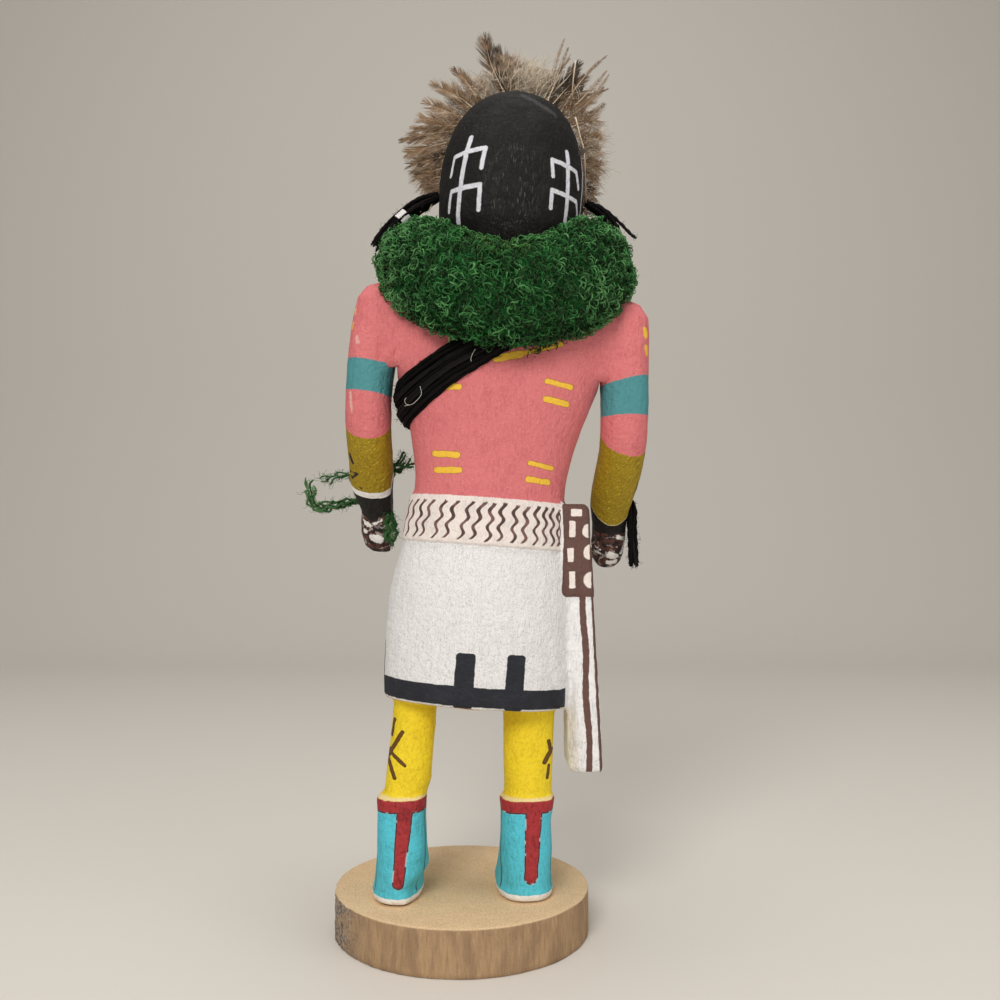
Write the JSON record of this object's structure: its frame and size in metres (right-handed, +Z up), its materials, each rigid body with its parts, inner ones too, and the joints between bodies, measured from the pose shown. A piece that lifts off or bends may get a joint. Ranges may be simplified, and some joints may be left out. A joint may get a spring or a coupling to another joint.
{
  "type": "kachina doll",
  "caption": "Carved and painted wooden kachina doll in kilt, sash and boots with a yarn ruff and feather crest, standing on a round wood base.",
  "frame": {"origin": "centre of the base's flat underside, on the surface that the doll stands on", "axes": "+Z up along the doll's height, +X towards the figure's left side, -Y the way its face looks"},
  "size_m": [0.1201, 0.0864, 0.3123],
  "materials": {
    "base_wood": "bare sanded wood",
    "painted_wood": "matte hand-painted wood",
    "arm_paint": "matte hand-painted wood",
    "green_yarn": "woolly yarn",
    "black_yarn": "woolly yarn",
    "feathers": "downy feathers",
    "sprig_yarn": "woolly yarn"
  },
  "bodies": {
    "root": {"base": "base_wood", "body": "painted_wood", "arm_left": "arm_paint", "arm_right": "arm_paint", "ruff": "green_yarn", "bandolier": "black_yarn", "feather_crest": "feathers", "ear_tassel_left": "black_yarn", "ear_tassel_right": "black_yarn", "wrist_tassel": "black_yarn", "hand_sprig": "sprig_yarn"}
  },
  "joints": []
}
